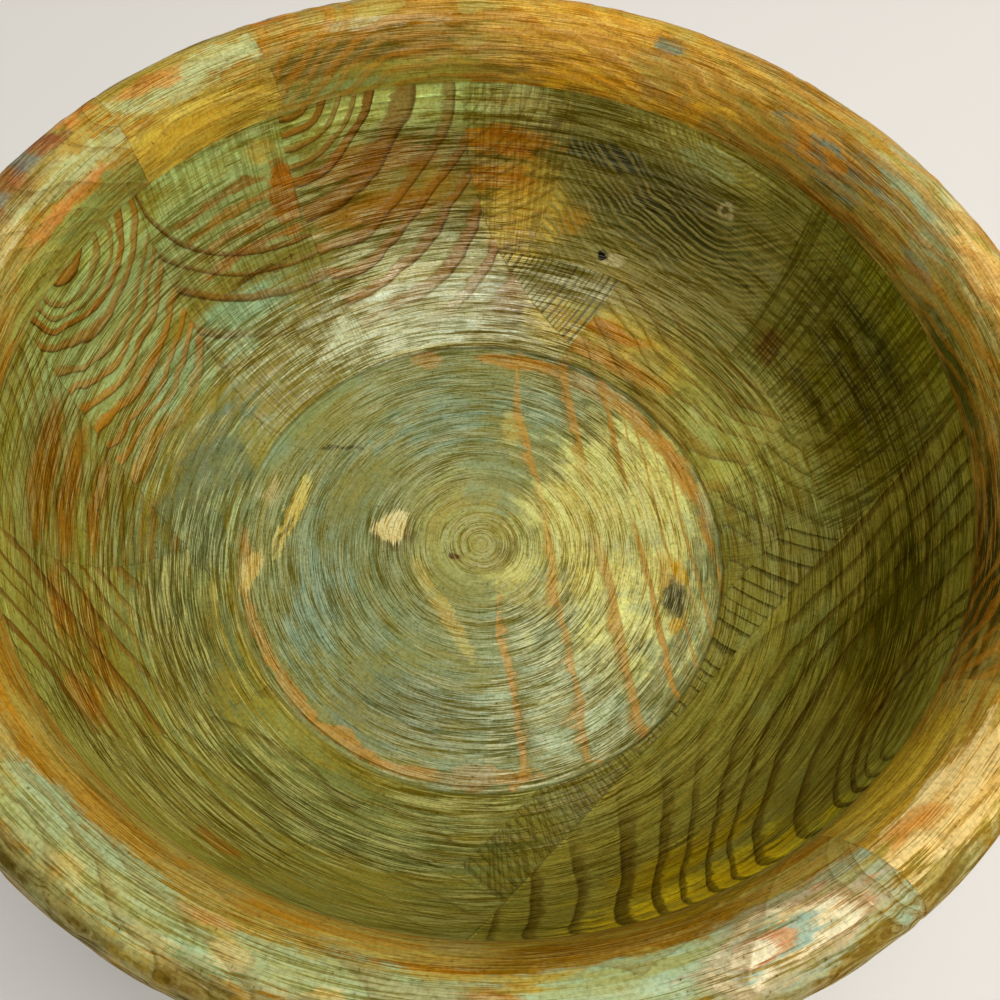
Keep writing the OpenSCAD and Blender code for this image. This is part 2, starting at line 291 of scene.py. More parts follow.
def rub_tree():
    """Shader group: one patch where the top coat is rubbed through, its edge broken by the gouge's lines."""
    tree = bpy.data.node_groups.new("rubbed patch", "ShaderNodeTree")
    sockets(tree, "INPUT", "Color", "Colour", "Under")
    sockets(tree, "INPUT", "Vector", "Place", "Centre", "Half size")
    sockets(tree, "INPUT", "Float", "Turn", "Strength", "Edge", "Lines", "Streaks", "Blotches")
    sockets(tree, "OUTPUT", "Color", "Colour")
    given = add(tree, "NodeGroupInput").outputs
    offset = add(tree, "ShaderNodeVectorMath", (given["Place"], given["Centre"]), operation="SUBTRACT")
    turned = add(tree, "ShaderNodeVectorRotate", {"Vector": offset, "Angle": given["Turn"]},
                 rotation_type="Z_AXIS")
    scaled = add(tree, "ShaderNodeVectorMath", (turned, given["Half size"]), operation="DIVIDE")
    distance = add(tree, "ShaderNodeVectorMath", (scaled,), operation="LENGTH")
    near = add(tree, "ShaderNodeMath", (distance, 2.0), operation="MINIMUM")
    rub = add(tree, "ShaderNodeMath", (1.0, near), operation="SUBTRACT")
    for socket, share in (("Streaks", 1.1), ("Lines", 1.0), ("Blotches", 1.5)):
        swing = add(tree, "ShaderNodeMath", (given[socket], 0.5), operation="SUBTRACT")
        rub = add(tree, "ShaderNodeMath", (swing, share, rub), operation="MULTIPLY_ADD")
    through = add(tree, "ShaderNodeMapRange", (rub, 0.05, given["Edge"]), interpolation_type="SMOOTHSTEP")
    factor = add(tree, "ShaderNodeMath", (through, given["Strength"]), operation="MULTIPLY")
    mixed = add(tree, "ShaderNodeMix", {0: factor, 6: given["Colour"], 7: given["Under"]}, data_type="RGBA")
    add(tree, "NodeGroupOutput", (mixed,))
    return tree


def bands_tree():
    """Shader group: the dense late wood of each year as a band of its own colour, with painted shadow at its outer
    edge where the proud band drops to the worn wood.
    """
    painted_relief_shadow, fade_below, fade_above = "#7a6418", 20 * MM, 10 * MM
    tree = bpy.data.node_groups.new("growth bands", "ShaderNodeTree")
    sockets(tree, "INPUT", "Color", "Colour", "Latewood")
    sockets(tree, "INPUT", "Float", "Lines", "Blotches", "First ring", "Band start", "Fade height",
            "Latewood level", "Relief shadow")
    sockets(tree, "OUTPUT", "Color", "Colour")
    sockets(tree, "OUTPUT", "Float", "Late")
    given = add(tree, "NodeGroupInput").outputs

    # A band begins where its own year says, along a ragged edge, and ends with the ring.
    ring = add(tree, "ShaderNodeAttribute", attribute_name="ring").outputs["Fac"]
    part = add(tree, "ShaderNodeMath", (ring,), operation="FRACT")
    count = add(tree, "ShaderNodeMath", (ring,), operation="FLOOR")
    year = add(tree, "ShaderNodeTexWhiteNoise", {"W": count}, noise_dimensions="1D")
    start = add(tree, "ShaderNodeMath", (year, 0.2, given["Band start"]), operation="MULTIPLY_ADD")
    full = add(tree, "ShaderNodeMath", (start, 0.1), operation="ADD")
    ragged = part
    for socket, share in (("Lines", 0.45), ("Blotches", 0.6)):
        swing = add(tree, "ShaderNodeMath", (given[socket], 0.5), operation="SUBTRACT")
        ragged = add(tree, "ShaderNodeMath", (swing, share, ragged), operation="MULTIPLY_ADD")
    rise = add(tree, "ShaderNodeMapRange", (ragged, start, full), interpolation_type="SMOOTHSTEP")
    fall = add(tree, "ShaderNodeMapRange", (part, 1.0, 0.95), interpolation_type="SMOOTHSTEP")
    band = add(tree, "ShaderNodeMath", (rise, fall), operation="MULTIPLY")

    # Bands show from the first ring on and above the fade height, and some years are paler.
    place = add(tree, "ShaderNodeTexCoord").outputs["Object"]
    level = add(tree, "ShaderNodeSeparateXYZ", (place,)).outputs["Z"]
    second = add(tree, "ShaderNodeMath", (given["First ring"], 0.8), operation="ADD")
    first = add(tree, "ShaderNodeMapRange", (ring, given["First ring"], second), interpolation_type="SMOOTHSTEP")
    bottom = add(tree, "ShaderNodeMath", (given["Fade height"], fade_below), operation="SUBTRACT")
    top = add(tree, "ShaderNodeMath", (given["Fade height"], fade_above), operation="ADD")
    above = add(tree, "ShaderNodeMapRange", (level, bottom, top), interpolation_type="SMOOTHSTEP")
    shown = add(tree, "ShaderNodeMath", (first, above), operation="MULTIPLY")
    shown = add(tree, "ShaderNodeMath", (shown, given["Latewood level"]), operation="MULTIPLY")
    paler = add(tree, "ShaderNodeMath", (year, -0.3, 1.0), operation="MULTIPLY_ADD")
    shown = add(tree, "ShaderNodeMath", (shown, paler), operation="MULTIPLY")
    late = add(tree, "ShaderNodeMath", (band, shown), operation="MULTIPLY")

    # Painted shadow: the outer edge of each band is darkened, as the shade of its raised relief.
    ending = add(tree, "ShaderNodeMapRange", (part, 0.82, 0.95), interpolation_type="SMOOTHSTEP")
    ended = add(tree, "ShaderNodeMapRange", (part, 1.0, 0.97), interpolation_type="SMOOTHSTEP")
    edge = add(tree, "ShaderNodeMath", (ending, ended), operation="MULTIPLY")
    relief_shadow = add(tree, "ShaderNodeMath", (shown, given["Relief shadow"]), operation="MULTIPLY")
    edge = add(tree, "ShaderNodeMath", (edge, relief_shadow), operation="MULTIPLY")
    paint = add(tree, "ShaderNodeMix", {0: late, 6: given["Colour"], 7: given["Latewood"]}, data_type="RGBA")
    paint = add(tree, "ShaderNodeMix", {0: edge, 6: paint, 7: linear(painted_relief_shadow)}, data_type="RGBA",
                blend_type="MULTIPLY")
    add(tree, "NodeGroupOutput", {"Colour": paint, "Late": late})
    return tree


def finish_tree():
    """Shader group: what the gouge and wear do over the paint: two tones, grooves darkened with stain and painted
    shade, and ridges paled by rubbing and painted highlight.
    """
    thick_coat, thin_coat = (0.96, 0.7, 0.2, 1.0), (1.06, 1.24, 1.5, 1.0)
    pale_grain, dark_grain = (1.22, 1.22, 1.18, 1.0), (0.74, 0.72, 0.6, 1.0)
    groove_stain_and_shade, pore_stain = "#a4961e", "#a08c30"
    gloss_ends, gloss_full = 68 * MM, 46 * MM
    tree = bpy.data.node_groups.new("turned finish", "ShaderNodeTree")
    sockets(tree, "INPUT", "Color", "Colour", "Ridge")
    sockets(tree, "INPUT", "Float", "Late", "Lines", "Streaks", "Blotches", "Specks", "Upright", "Ridge level",
            "Groove level", "Weave", "Bare level")
    sockets(tree, "OUTPUT", "Color", "Colour")
    sockets(tree, "OUTPUT", "Float", "Roughness", "Shine", "Gloss", "Height")
    given = add(tree, "NodeGroupInput").outputs
    lines, upright, late = given["Lines"], given["Upright"], given["Late"]

    # The coat is thick in some places and thin in others, less so on the hard late wood.
    wear = add(tree, "ShaderNodeMath", (lines, 0.3), operation="MULTIPLY")
    for socket, share in (("Streaks", 0.5), ("Blotches", 0.3)):
        wear = add(tree, "ShaderNodeMath", (given[socket], share, wear), operation="MULTIPLY_ADD")
    worn = add(tree, "ShaderNodeMapRange", (wear, 0.49, 0.61), interpolation_type="SMOOTHSTEP")
    tint = add(tree, "ShaderNodeMix", {0: worn, 6: thick_coat, 7: thin_coat}, data_type="RGBA")
    soft = add(tree, "ShaderNodeMath", (late, -0.7, 1.0), operation="MULTIPLY_ADD")
    early = add(tree, "ShaderNodeMath", (soft, given["Bare level"]), operation="MULTIPLY")
    paint = add(tree, "ShaderNodeMix", {0: early, 6: given["Colour"], 7: tint}, data_type="RGBA",
                blend_type="MULTIPLY")

    # Grooves are darkened by dark varnish and painted shade, ridges are rubbed pale and carry painted highlight,
    # and some blocks are also scored up and down.
    scored = add(tree, "ShaderNodeMapRange", (upright, 0.51, 0.45), interpolation_type="SMOOTHSTEP")
    hatch = add(tree, "ShaderNodeMath", (scored, given["Weave"]), operation="MULTIPLY")
    deep = add(tree, "ShaderNodeMapRange", (lines, 0.485, 0.41), interpolation_type="SMOOTHSTEP")
    groove = add(tree, "ShaderNodeMath", (deep, hatch), operation="MAXIMUM")
    groove = add(tree, "ShaderNodeMath", (groove, given["Groove level"]), operation="MULTIPLY")
    paint = add(tree, "ShaderNodeMix", {0: groove, 6: paint, 7: linear(groove_stain_and_shade)}, data_type="RGBA",
                blend_type="MULTIPLY")
    crest = add(tree, "ShaderNodeMapRange", (lines, 0.53, 0.6), interpolation_type="SMOOTHSTEP")
    clear = add(tree, "ShaderNodeMath", (hatch, -0.8, 1.0), operation="MULTIPLY_ADD")
    ridge = crest
    for share in (given["Ridge level"], soft, clear):
        ridge = add(tree, "ShaderNodeMath", (ridge, share), operation="MULTIPLY")
    paint = add(tree, "ShaderNodeMix", {0: ridge, 6: paint, 7: given["Ridge"]}, data_type="RGBA")

    # The wood's own fine grain, and open pores that have taken the stain.
    speck = add(tree, "ShaderNodeMapRange", (given["Specks"], 0.36, 0.68), interpolation_type="SMOOTHSTEP")
    grain = add(tree, "ShaderNodeMix", {0: speck, 6: pale_grain, 7: dark_grain}, data_type="RGBA")
    paint = add(tree, "ShaderNodeMix", {0: 0.6, 6: paint, 7: grain}, data_type="RGBA", blend_type="MULTIPLY")
    pore = add(tree, "ShaderNodeMapRange", (given["Specks"], 0.66, 0.74), interpolation_type="SMOOTHSTEP")
    paint = add(tree, "ShaderNodeMix", {0: pore, 6: paint, 7: linear(pore_stain)}, data_type="RGBA",
                blend_type="MULTIPLY")

    # Ridges are the smoother and shinier part; the deep gloss is kept to the foot of the wall.
    woven = add(tree, "ShaderNodeMath", (upright, given["Weave"]), operation="MULTIPLY")
    height = add(tree, "ShaderNodeMath", (lines, 0.34), operation="MULTIPLY")
    for value, share in ((given["Streaks"], 0.2), (woven, 0.3), (late, 0.12), (given["Blotches"], 0.25),
                         (given["Specks"], 0.05)):
        height = add(tree, "ShaderNodeMath", (value, share, height), operation="MULTIPLY_ADD")
    polished = add(tree, "ShaderNodeMapRange", (lines, 0.45, 0.62), interpolation_type="SMOOTHSTEP")
    rough = add(tree, "ShaderNodeMath", (polished, -0.2, 0.5), operation="MULTIPLY_ADD")
    raised = add(tree, "ShaderNodeMapRange", (lines, 0.45, 0.6), interpolation_type="SMOOTHSTEP")
    shine = add(tree, "ShaderNodeMath", (raised, 0.95, 0.05), operation="MULTIPLY_ADD")
    place = add(tree, "ShaderNodeTexCoord").outputs["Object"]
    level = add(tree, "ShaderNodeSeparateXYZ", (place,)).outputs["Z"]
    low = add(tree, "ShaderNodeMapRange", (level, gloss_ends, gloss_full), interpolation_type="SMOOTHSTEP")
    gloss = add(tree, "ShaderNodeMath", (shine, low), operation="MULTIPLY")
    add(tree, "NodeGroupOutput", {"Colour": paint, "Roughness": rough, "Shine": shine, "Gloss": gloss,
                                  "Height": height})
    return tree


gouge_marks, rubbed_patch = marks_tree(), rub_tree()
growth_bands, turned_finish = bands_tree(), finish_tree()


def rubbed(tree, marks, colour, rubs):
    """A colour with patches over it, each an under colour, a place with turn and half sizes, and a strength."""
    small, crisp, soft = 10, 0.35, 0.7
    for under, (centre, turn, half), strength in rubs:
        colour = add(tree, "ShaderNodeGroup", {
            "Colour": colour, "Under": linear(under), "Centre": Vector(centre) * MM, "Half size": Vector(half) * MM,
            "Turn": math.radians(turn), "Strength": strength, "Edge": soft if min(half[:2]) > small else crisp,
            "Place": marks["Place"], "Lines": marks["Lines"], "Streaks": marks["Streaks"],
            "Blotches": marks["Blotches"]}, node_tree=rubbed_patch)
    return colour


def coat_tree(name, paint, streak, cool, rubs, painted_light_heights=None):
    """Shader group: one coat of paint over several pieces, streaked by the gouge's lines and rubbed in patches, and
    made paler towards the rim over the given heights as painted light.
    """
    painted_light_tint = (1.5, 1.6, 1.6, 1.0)
    tree = bpy.data.node_groups.new(name, "ShaderNodeTree")
    sockets(tree, "INPUT", "Vector", "Place")
    sockets(tree, "INPUT", "Float", "Lines", "Streaks", "Clouds", "Blotches")
    sockets(tree, "OUTPUT", "Color", "Colour")
    marks = add(tree, "NodeGroupInput").outputs
    streaked = add(tree, "ShaderNodeMapRange", (marks["Streaks"], 0.42, 0.6), interpolation_type="SMOOTHSTEP")
    colour = add(tree, "ShaderNodeMix", {0: streaked, 6: linear(paint), 7: linear(streak)}, data_type="RGBA")
    colour = rubbed(tree, marks, colour, rubs)
    cloud = add(tree, "ShaderNodeMapRange", (marks["Clouds"], 0.5, 0.64), interpolation_type="SMOOTHSTEP")
    faint = add(tree, "ShaderNodeMath", (cloud, 0.5), operation="MULTIPLY")
    colour = add(tree, "ShaderNodeMix", {0: faint, 6: colour, 7: linear(cool)}, data_type="RGBA")
    # Painted light: over the given heights the coat is lightened towards the rim, where the top of the wall is lit
    # more.
    if painted_light_heights:
        height = add(tree, "ShaderNodeSeparateXYZ", (marks["Place"],)).outputs["Z"]
        painted_light_mask = add(tree, "ShaderNodeMapRange", (height, painted_light_heights[0] * MM, painted_light_heights[1] * MM),
                   interpolation_type="SMOOTHSTEP")
        colour = add(tree, "ShaderNodeMix", {0: painted_light_mask, 6: colour, 7: painted_light_tint}, data_type="RGBA",
                     blend_type="MULTIPLY")
    add(tree, "NodeGroupOutput", (colour,))
    return tree


def worn_paint(name, coat, latewood, ridge, first_ring=0.0, band=0.55, fade=-1000, late=0.9, ridges=0.5,
               grooves=0.8, weave=0.0, bare=0.5, relief_shadow=0.8, gloss=0.2, fine=1.0, broad=0.5, depth=1.3, rubs=(),
               over=()):
    """Paint on turned pine, rubbed and varnished satin: gouge lines are pale on top and dark between, partly wear
    and stain and partly painted highlight and shade.

    The coat is rubbed in patches, growth bands of late wood show through it, later patches lie over both,
    and the turned finish covers all. Fade and depth are in mm."""
    satin = 0.26
    material = bpy.data.materials.new("rubbed_paint_on_turned_pine_" + name)
    material.use_nodes = True
    tree = material.node_tree
    marks = add(tree, "ShaderNodeGroup", {"Fine": fine, "Broad": broad}, node_tree=gouge_marks).outputs

    def layer(group, values):
        """One layer of the finish: a group that reads the gouge's marks by name, and the values given."""
        names = [item.name for item in group.interface.items_tree if item.in_out == "INPUT"]
        read = {socket: marks[socket] for socket in names if socket in marks}
        return add(tree, "ShaderNodeGroup", {**read, **values}, node_tree=group)

    paint = rubbed(tree, marks, layer(coat, {}), rubs)
    bands = layer(growth_bands, {
        "Colour": paint, "Latewood": linear(latewood), "First ring": first_ring, "Band start": band,
        "Fade height": fade * MM, "Latewood level": late, "Relief shadow": relief_shadow}).outputs
    finish = layer(turned_finish, {
        "Colour": rubbed(tree, marks, bands["Colour"], over), "Ridge": linear(ridge), "Late": bands["Late"],
        "Ridge level": ridges, "Groove level": grooves, "Weave": weave, "Bare level": bare}).outputs
    bump = add(tree, "ShaderNodeBump", {"Height": finish["Height"], "Strength": 1.0, "Distance": depth * MM})
    shine = add(tree, "ShaderNodeMath", (finish["Shine"], 0.1 + 0.3 * gloss), operation="MULTIPLY")
    sheen = add(tree, "ShaderNodeMath", (finish["Gloss"], gloss), operation="MULTIPLY")
    varnish = tree.nodes["Principled BSDF"].inputs
    varnish["Coat Roughness"].default_value = satin
    for socket, output in (("Base Color", finish["Colour"]), ("Roughness", finish["Roughness"]),
                           ("Specular IOR Level", shine.outputs[0]), ("Coat Weight", sheen.outputs[0]),
                           ("Normal", bump.outputs[0]), ("Coat Normal", bump.outputs[0])):
        tree.links.new(output, varnish[socket])
    return material


def patches(place, *rows):
    """Patches of paint: each row is a colour, a strength and what the place function asks for."""
    return [(colour, place(*where), strength) for colour, strength, *where in rows]


def floor_patch(x, y, along, across, turn=0):
    """A patch on the floor, in mm: its middle, half sizes, and degrees its long way is turned clockwise."""
    return (x, y, FLOOR_HEIGHT), turn, (along, across, 6)


def floor_edge(angle, radius, along, across):
    """A patch that lies along the floor's edge, at an angle in radians clockwise from the far side."""
    return floor_patch(radius * math.sin(angle), radius * math.cos(angle), along, across, math.degrees(angle))


base_section = (
    line((0, FLOOR_HEIGHT), (FLOOR_RADIUS - 2 * GROOVE_RADIUS, FLOOR_HEIGHT), 1.0)
    + arc((FLOOR_RADIUS - GROOVE_RADIUS, FLOOR_HEIGHT), GROOVE_RADIUS, 180, 360, 0.4)
    + line((FLOOR_RADIUS, FLOOR_HEIGHT), (BASE_EDGE_RADIUS, FLOOR_HEIGHT), 8.0)
    + arc(LOW_CENTRE, LOW_OUTSIDE, FLOOR_LEVEL_ANGLE, TABLE_ANGLE, 2.0) + line((FOOT_RADIUS, 0), (0, 0), 4.0))
base_form = turned_form("base_form", base_section, BASE_TURNS)

# One grey-green coat lies over both boards: cool on the left, straw on the right, painted paler there
# partly as painted light, and rubbed to orange along the groove, where the gouge turned.
floor_coat = coat_tree("floor coat", "#84884e", "#7c8048", "#7a8a6a", patches(
    floor_patch,
    # The large straw patch on the right is partly paint and partly painted light, paler where more light falls on
    # the floor.
    ("#6d7448", 0.75, -60, -20, 52, 84), ("#e6de80", 0.95, 64, 10, 54, 90), ("#a09a50", 0.75, 0, 10, 46, 42),
    # The pale sage patch at the near right is partly painted sheen of the varnish.
    ("#c4b85a", 0.7, 26, -20, 26, 18, 20), ("#687050", 0.7, -24, -76, 50, 24), ("#aeb88c", 0.8, 36, -70, 40, 26),
    ("#74907a", 0.6, -26, 58, 44, 14, -25), ("#768f7c", 0.6, -66, -34, 16, 40),
    ("#7c9278", 0.6, 22, 74, 30, 14, 10), ("#b9ae62", 0.7, 10, 62, 7, 11),
    ("#b5a24e", 0.7, -14, -31, 32, 4, 57), ("#b08a44", 0.8, -34, 96, 9, 7), ("#b98a44", 0.8, 6, -99, 10, 6))
    + patches(floor_edge, *[("#b8842a", 0.85, a, 99, 24, 6) for a in (0.1, 0.35, 0.6, 0.85, 1.1)])
    + patches(floor_edge, *[("#a87c2c", 0.75, a, 101, 24, 3.4) for a in (1.4, 3.0, 3.3, 3.6, 3.9, 4.2, 4.5)]))
floor_finish = dict(bare=0.45, grooves=0.75, relief_shadow=0.0, broad=0.25, fine=1.25, depth=1.0)

# The left board shows hardly any rings. Its cream flecks are sunk, where paint and a little wood came off.
grown_piece("base_board_left", base_form,
            glue_box(0, (-BASE_REACH, BOARD_JOINT), (-BASE_REACH, BASE_REACH), (-1, 20)),
            heart=(-70, 0, -30), along=(0.05, 1, 0), ring_width=11, relief=0.08, chip=0.0, seed=1.0,
            material=worn_paint(
                "base_left", floor_coat, "#a8803c", "#a4a874", late=0.05, band=0.7, gloss=0.3, **floor_finish,
                over=patches(
                    floor_patch,
                    ("#5c4c20", 0.8, -38.4, 2, 11, 9), ("#d6c484", 1.0, -39.7, 4, 10, 8),
                    ("#bfae58", 1.0, -83.5, 5, 24, 4.5, -79), ("#6a5a24", 0.8, -85, -2, 12, 1.6, -76),
                    ("#c4b068", 1.0, -96, -22, 13, 5.5, -75), ("#a8a070", 0.9, -94.7, 18, 10, 4, -80),
                    ("#5a3c18", 0.9, -10.8, -7.7, 2.6, 2), ("#4a4520", 0.8, -68, 41, 13, 1.2, -5))),
            pits=[(0.4, floor_patch(-39.7, 4, 7, 6)), (0.4, floor_patch(-83.5, 5, 19, 2.5, -79)),
                  (0.4, floor_patch(-96, -22, 9, 3.5, -75))])

# The right board is flat-sawn, so its late wood runs as orange lines; a dark scar lies by the groove.
grown_piece("base_board_right", base_form,
            glue_box(0, (BOARD_JOINT, BASE_REACH), (-BASE_REACH, BASE_REACH), (-1, 20)),
            heart=(16, 0, -37), along=(-0.226, 1, 0), ring_width=6, wander=3, relief=0.12, chip=0.0, seed=2.0,
            material=worn_paint(
                "base_right", floor_coat, "#b88a30", "#d2ce90", late=0.95, band=0.64, gloss=0.4, **floor_finish,
                rubs=patches(floor_patch, ("#c9ab4a", 0.9, 83, -13, 8, 19, -12)),
                over=patches(
                    floor_patch,
                    ("#cfc873", 0.9, 48, 24, 38, 28), ("#50502c", 0.95, 84, -18, 7, 12),
                    ("#d8ac28", 1.0, 87, -5, 4, 7, -40), ("#c8a030", 0.9, 86, -30, 5, 4))),
            pits=[(0.5, floor_patch(84, -14, 6, 9))])


# The wall: blocks of softwood glued in two crossing directions, then turned to a deep curve with a
# small bead at its toe. End grain faces in, so each block shows arcs of growth rings about its heart.

WALL_TOP, UPRIGHT_FOOT, WALL_INSIDE, WALL_OUTSIDE = 124.6, 118, 161.5, 185.5
HIGH_CENTRE, HIGH_INSIDE, HIGH_OUTSIDE = (11.4815, 118), 150.02, 174.02
BEAD_RADIUS, BEAD_END, BEAD_TOP_ANGLE, CURVES_MEET = 1.6, 44.7, -66.8, -21.51
UPRIGHT_LENGTH, HIGH_LENGTH = 6.6, 62.9
LAYOUT_TURN, FAR = 40.8, 400
LOWER_COURSE, UPPER_COURSE = (10, 46), (46, 130)
LEFT_ROW, BACK_ROW = -93.3, 105
TOE_BACK, TOE_FRONT, TOE_END = 89.6, 109.1, 98.96
ROUND_TURNS = 960

wall_section = (
    arc((FLOOR_RADIUS + BEAD_RADIUS, FLOOR_HEIGHT), BEAD_RADIUS, 180, BEAD_END, 0.5)
    + arc(LOW_CENTRE, LOW_INSIDE, BEAD_TOP_ANGLE, CURVES_MEET, 1.0)
    + arc(HIGH_CENTRE, HIGH_INSIDE, CURVES_MEET, 0, 1.0)
    + line((WALL_INSIDE, UPRIGHT_FOOT), (WALL_INSIDE, WALL_TOP), 1.0)
    + line((WALL_INSIDE, WALL_TOP), (WALL_OUTSIDE, WALL_TOP), 8.0)
    + line((WALL_OUTSIDE, WALL_TOP), (WALL_OUTSIDE, UPRIGHT_FOOT), 2.0)
    + arc(HIGH_CENTRE, HIGH_OUTSIDE, 0, CURVES_MEET, 2.0)
    + arc(LOW_CENTRE, LOW_OUTSIDE, CURVES_MEET, FLOOR_LEVEL_ANGLE, 2.0)
    + line((BASE_EDGE_RADIUS, FLOOR_HEIGHT), (FLOOR_RADIUS, FLOOR_HEIGHT), 8.0))
wall_form = turned_form("wall_form", wall_section, ROUND_TURNS)


def wall_box(v, u, z=(10, 130)):
    """Glue planes of a wall block, in the wall's layout."""
    return glue_box(LAYOUT_TURN, v, u, z)


def toe_space():
    """The space that the two toe blocks take out of the blocks behind them."""
    return wall_box((TOE_BACK, 120), (-TOE_END, TOE_END), (5, 135))


def laid(v, u, z):
    """A place in the wall's layout, in the bowl's own axes."""
    turn = math.radians(LAYOUT_TURN)
    return (v * math.cos(turn) + u * math.sin(turn), u * math.cos(turn) - v * math.sin(turn), z)


def around(angle, radius, height):
    """A place in mm at degrees clockwise from the far side."""
    turn = math.radians(angle)
    return radius * math.sin(turn), radius * math.cos(turn), height


def wall_patch(angle, down, along, across):
    """A patch inside the wall: degrees clockwise from the far side, mm down from the rim, and half sizes."""
    if down < UPRIGHT_LENGTH:
        radius, height = WALL_INSIDE, WALL_TOP - down
    elif down < HIGH_LENGTH:
        tilt = (down - UPRIGHT_LENGTH) / HIGH_INSIDE
        radius = HIGH_CENTRE[0] + HIGH_INSIDE * math.cos(tilt)
        height = HIGH_CENTRE[1] - HIGH_INSIDE * math.sin(tilt)
    else:
        tilt = (down - HIGH_LENGTH) / LOW_INSIDE - math.radians(CURVES_MEET)
        radius, height = LOW_CENTRE[0] + LOW_INSIDE * math.cos(tilt), LOW_CENTRE[1] - LOW_INSIDE * math.sin(tilt)
    return around(angle, radius, height), angle, (along, across, across)


across_wall = laid(1, 0, 0)
along_wall = laid(0, 1, 0)

# One olive coat goes round the wall: green at the back left, dark at the right, yellow at the front right,
# and painted paler in the band under the rim, as painted light on the top of the wall.
wall_coat = coat_tree("wall coat", "#868032", "#7e7629", "#858846", patches(
    wall_patch,
    ("#a0b06c", 0.95, 287, 28, 64, 46), ("#a6b470", 0.9, 312, 26, 60, 40), ("#c2cc7c", 0.95, 342, 9, 64, 18),
    # The pale grey patch 112 mm down at 339 degrees is partly painted sheen, lightened where the varnish shines at
    # the foot of the back left wall.
    ("#b08c2c", 0.85, 345, 45, 54, 26), ("#c6c488", 0.85, 345, 88, 54, 20), ("#ccd0aa", 0.95, 339, 112, 72, 26),
    ("#5c6644", 0.9, 276, 112, 70, 30), ("#e6c04c", 0.9, 2, 60, 28, 36), ("#524c18", 0.9, 28, 44, 62, 32),
    ("#b8a850", 0.9, 28, 8, 54, 14), ("#a09248", 0.85, 28, 84, 56, 18), ("#ccae40", 0.9, 25, 110, 62, 20),
    ("#6c6400", 0.9, 72, 45, 62, 34), ("#807c10", 0.8, 68, 7, 52, 12), ("#a8a452", 0.85, 66, 86, 52, 15),
    ("#b4b452", 0.85, 62, 112, 46, 20), ("#6a5e00", 0.95, 108, 46, 62, 38), ("#6a6820", 0.85, 110, 86, 56, 16),
    ("#8f8a38", 0.8, 112, 114, 56, 15), ("#f2d012", 0.95, 152, 26, 62, 36), ("#a48600", 0.85, 150, 66, 54, 18),
    ("#837a2c", 0.8, 150, 108, 62, 26), ("#666a34", 0.85, 200, 104, 98, 36), ("#8b8239", 0.8, 245, 18, 62, 20),
    ("#5e6236", 0.85, 250, 104, 88, 38)), painted_light_heights=(94, 116))

# Back left row: green paint between bold orange rings, which stand proud where the soft wood is worn.
grown_piece("back_left_block_1", wall_form, wall_box((-FAR, 0), (LEFT_ROW, -31.5)),
            heart=laid(0, -66, 128), along=across_wall, ring_width=6.2, tall=0.85, wander=16, relief=0.45, seed=3.0,
            material=worn_paint(
                "back_left_1", wall_coat, "#a66c0c", "#bcc884", band=0.38, fade=50, bare=0.35, grooves=0.7,
                gloss=0.3, rubs=patches(wall_patch, ("#86a474", 0.8, 292, 78, 30, 20))))

# The middle block is scored up and down, with thin brown arcs and a mint foot.
grown_piece("back_left_block_2", wall_form, wall_box((-FAR, 0), (-31.5, 35.5)),
            heart=laid(0, 28.5, 124), along=across_wall, ring_width=11, seed=4.0,
            material=worn_paint(
                "back_left_2", wall_coat, "#8a5c0c", "#c4c67c", weave=0.6, first_ring=5.0, fade=48, bare=0.4,
                gloss=0.6, rubs=patches(
                    wall_patch,
                    ("#a87210", 0.8, 314, 34, 34, 3.2), ("#a87210", 0.8, 313, 44, 32, 3.2),
                    ("#986408", 0.8, 311, 25, 34, 2.6), ("#986004", 0.8, 312, 53, 32, 2.8),
                    ("#b06c04", 0.95, 322, 38, 8, 22), ("#5e4a10", 0.9, 314, 66, 26, 3),
                    ("#8aa87c", 0.8, 306, 78, 34, 18)),
                over=patches(wall_patch, ("#cdbb5a", 0.9, 320, 14, 7, 7))))

# Broad brown arcs on yellow green; the varnish is thickest here and shines pale at the foot, where the wall coat
# also has painted sheen.
grown_piece("back_left_block_3", wall_form, wall_box((-FAR, -44.8), (35.5, BACK_ROW)),
            heart=laid(0, 40, 128), along=across_wall, ring_width=9.5, tall=0.85, wander=9, relief=0.45, seed=5.0,
            material=worn_paint(
                "back_left_3", wall_coat, "#a06608", "#d6d084", band=0.4, fade=36, bare=0.4, gloss=0.8,
                rubs=patches(wall_patch, ("#a87210", 0.85, 337, 34, 42, 9), ("#a06a0a", 0.85, 337, 58, 42, 11))))

# The left corner is streaked orange where the coat is rubbed through.
grown_piece("left_corner_block", wall_form, wall_box((-FAR, -80.5), (-FAR, LEFT_ROW)),
            heart=laid(-78, 0, 126), along=along_wall, ring_width=4, seed=6.0,
            material=worn_paint(
                "left_corner", wall_coat, "#7d5a10", "#aeb474", late=0.6, bare=0.6, rubs=patches(
                    wall_patch,
                    ("#94640a", 0.9, 263, 35, 34, 9), ("#8c5e08", 0.9, 262, 51, 34, 7),
                    ("#946208", 0.85, 264, 66, 28, 4))))

# The small back corner is straw at the top and orange below, scored up and down.
grown_piece("back_corner_block", wall_form, wall_box((-FAR, -86.4), (BACK_ROW, FAR), UPPER_COURSE),
            heart=laid(0, 78.5, 124), along=across_wall, ring_width=4, seed=7.0,
            material=worn_paint(
                "back_corner", wall_coat, "#96701a", "#d8c05c", late=0.4, weave=0.6, bare=0.6, gloss=0.4,
                rubs=patches(
                    wall_patch,
                    ("#ece894", 0.95, 0, 9, 24, 13), ("#c6800c", 0.9, 358, 29, 24, 9),
                    ("#c88610", 0.9, 357, 46, 22, 8))))
